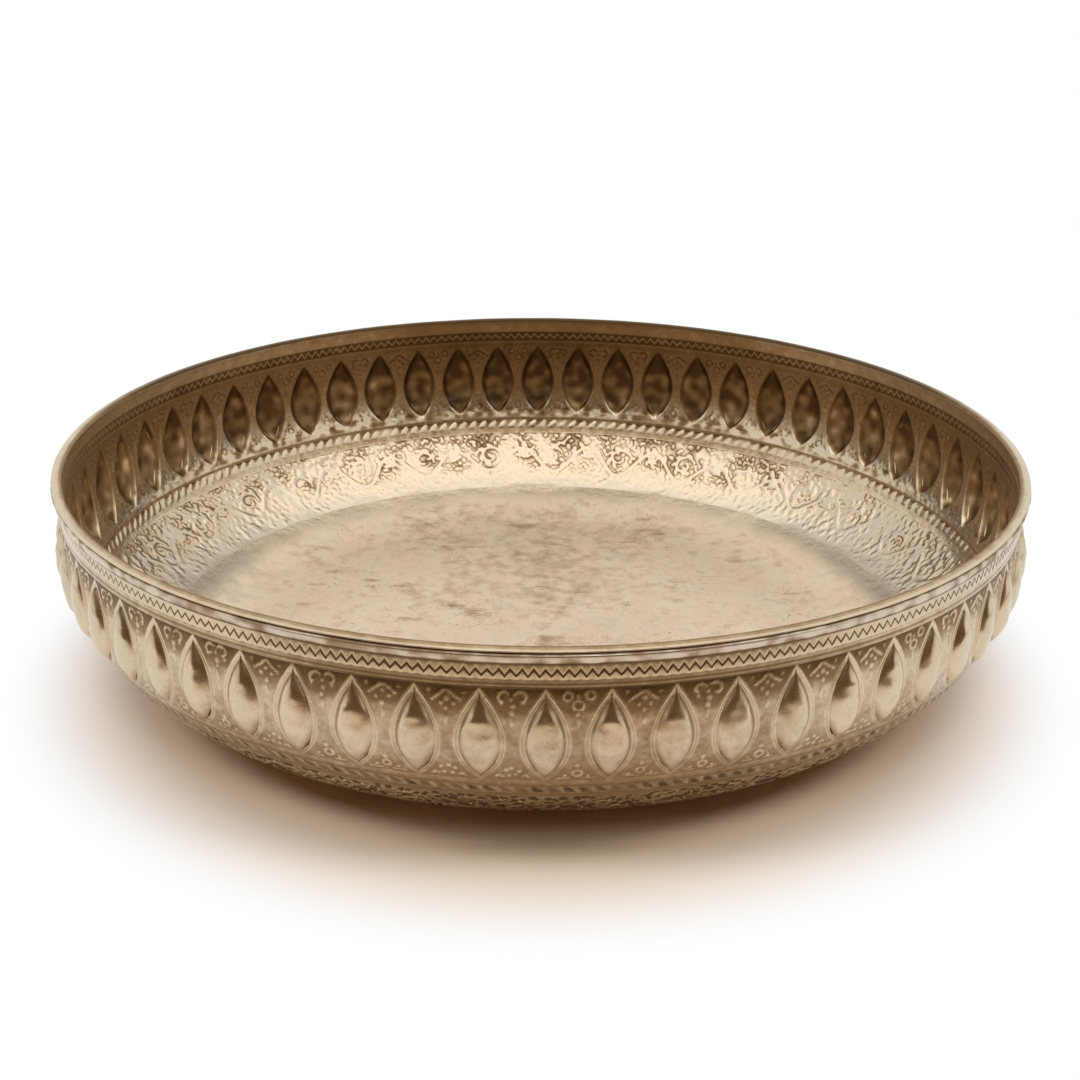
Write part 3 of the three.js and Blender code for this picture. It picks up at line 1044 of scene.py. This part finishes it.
# Floor, light and camera. Lengths here are in metres.
studio = {
    "ground": 6.0,
    # a cream paper, whose warmth stands in for light bounced from the silver into the shadow
    "paperBounceColor": (0.95, 0.77, 0.57, 1),
    # the paper glows pure white outside an edge round this place, which paints where the bowl's shadow fades
    # out
    "glowCentre": (0, -0.008, 0), "glowStart": 0.12, "glowEnd": 0.171,
    "shade": (0.14, 0.30),  # between these distances in front, the silver ceases to mirror the glow
    "skyLight": 0.02, "skyColor": (1.0, 0.82, 0.62, 1),
    # place, size and power of each lamp, and whether the silver mirrors it
    "lamps": {
        "overheadLamp": ((0.02, 0.04, 1.1), 1.6, 3.9, True),
        "softLamp": ((0.02, 0.04, 1.1), 1.6, 3.1, False),
        "frontLamp": ((0.0, -0.76, 0.74), 0.3, 1.6, False),
        "leftLamp": ((-0.66, -0.38, 0.74), 0.3, 3.0, False),
        "rightLamp": ((0.66, -0.38, 0.74), 0.3, 3.0, False),
    },
    "lampColor": (1.0, 0.97, 0.93),
    "cardStart": 0.29, "cardDistance": 0.85, "cardHeight": 0.62, "cardSpan": 95,
    "cardShadeColor": (0.140, 0.083, 0.035, 1),
}
white = (1, 1, 1, 1)


def ray(finish, kind):
    return finish.node("ShaderNodeLightPath", None, (), kind)


def groundPlane():
    bm = bmesh.new()
    bmesh.ops.create_grid(bm, x_segments=8, y_segments=8, size=studio["ground"] / 2)
    bmesh.ops.translate(bm, verts=bm.verts, vec=(0, 0, -0.05 * mm))
    piece = finishedPiece("studio_ground", bm)
    material = bpy.data.materials.new("groundPaper")
    finish = Finish(material)
    place = finish.place()
    paper = finish.node("ShaderNodeBsdfDiffuse", None, {"Color": studio["paperBounceColor"]})
    glow = finish.node("ShaderNodeEmission", None, {"Color": white, "Strength": 1.0})
    away = finish.distance(place, studio["glowCentre"])
    forward = 0.0 - finish.node("ShaderNodeSeparateXYZ", None, (place,), "Y")
    mirrored = ray(finish, "Is Glossy Ray") + ray(finish, "Is Transmission Ray")
    seen = ray(finish, "Is Camera Ray") + mirrored * (1.0 - forward.between(*studio["shade"]))
    # painted shadow edge: the glow grows with distance from its centre
    share = seen * away.between(studio["glowStart"], studio["glowEnd"])
    mixed = finish.node("ShaderNodeMixShader", None, {0: share, 1: paper, 2: glow})
    finish.node("ShaderNodeOutputMaterial", None, {"Surface": mixed})
    piece.data.materials.append(material)


def darkCard():
    # a dark card on the camera's side, as for any photograph of bright metal; it glows a dim brown, a painted
    # shade of the room that the silver mirrors
    bm = bmesh.new()
    half = math.radians(studio["cardSpan"] / 2)
    reach, lowest = studio["cardDistance"], 0.001
    corners = ((studio["cardStart"], lowest), (reach, lowest), (reach, studio["cardHeight"]))
    verts = [bm.verts.new((-out * math.sin(half), -out * math.cos(half), height)) for out, height in corners]
    edges = [bm.edges.new(pair) for pair in zip(verts, verts[1:])]
    bmesh.ops.spin(bm, geom=verts + edges, cent=(0, 0, 0), axis=(0, 0, 1), angle=2 * half, steps=24)
    piece = finishedPiece("studio_card", bm)
    material = bpy.data.materials.new("cardRoomShade")
    finish = Finish(material)
    card = finish.node("ShaderNodeEmission", None, {"Color": studio["cardShadeColor"], "Strength": 1.0})
    finish.node("ShaderNodeOutputMaterial", None, {"Surface": card})
    piece.data.materials.append(material)
    piece.visible_camera = False


def sky():
    world = bpy.data.worlds.new("studioRoom")
    bpy.context.scene.world = world
    finish = Finish(world)
    color, strength = studio["skyColor"], studio["skyLight"]
    soft = finish.node("ShaderNodeBackground", None, {"Color": color, "Strength": strength})
    plain = finish.node("ShaderNodeBackground", None, {"Color": white, "Strength": 1.0})
    seen = ray(finish, "Is Camera Ray") + ray(finish, "Is Glossy Ray")
    either = finish.node("ShaderNodeMixShader", None, {0: seen, 1: soft, 2: plain})
    finish.node("ShaderNodeOutputWorld", None, {"Surface": either})


def lamp(name, place, size, power, mirrored):
    light = bpy.data.lights.new(name, "AREA")
    light.shape = "DISK"
    light.size = size
    light.energy = power
    light.color = studio["lampColor"]
    piece = bpy.data.objects.new(name, light)
    bpy.context.scene.collection.objects.link(piece)
    piece.location = place
    piece.rotation_euler = Vector(place).to_track_quat("Z", "Y").to_euler()
    piece.visible_glossy = mirrored


# The camera as it was fitted to the photograph, in millimetres from the middle of the mouth. The turn puts the
# petals where the photograph has them.
view = {
    "place": (0, -525.071, 182.983),
    "forward": (-0.000253, 0.924619, -0.380893),
    "up": (-0.007577, 0.380880, 0.924593),
    "turn": -0.010,
    "lens": 58.564, "sensorWidth": 36,
}


def makeCamera():
    lens = bpy.data.cameras.new("camera")
    lens.lens = view["lens"]
    lens.sensor_width = view["sensorWidth"]
    lens.clip_start, lens.clip_end = 0.01, 50
    camera = bpy.data.objects.new("camera", lens)
    bpy.context.scene.collection.objects.link(camera)
    forward = Vector(view["forward"]).normalized()
    right = forward.cross(Vector(view["up"])).normalized()
    up = right.cross(forward)
    aim = Matrix((right, up, -forward)).transposed()
    turned = Matrix.Rotation(view["turn"], 3, "Z")
    place = turned @ Vector(view["place"]) * mm + Vector((0, 0, bowlHeight * mm))
    camera.matrix_world = Matrix.Translation(place) @ (turned @ aim).to_4x4()
    bpy.context.scene.camera = camera


groundPlane()
darkCard()
sky()
for lampName, lampValues in studio["lamps"].items():
    lamp(lampName, *lampValues)
makeCamera()
bpy.context.scene.view_settings.view_transform = "Standard"
print("studio made")
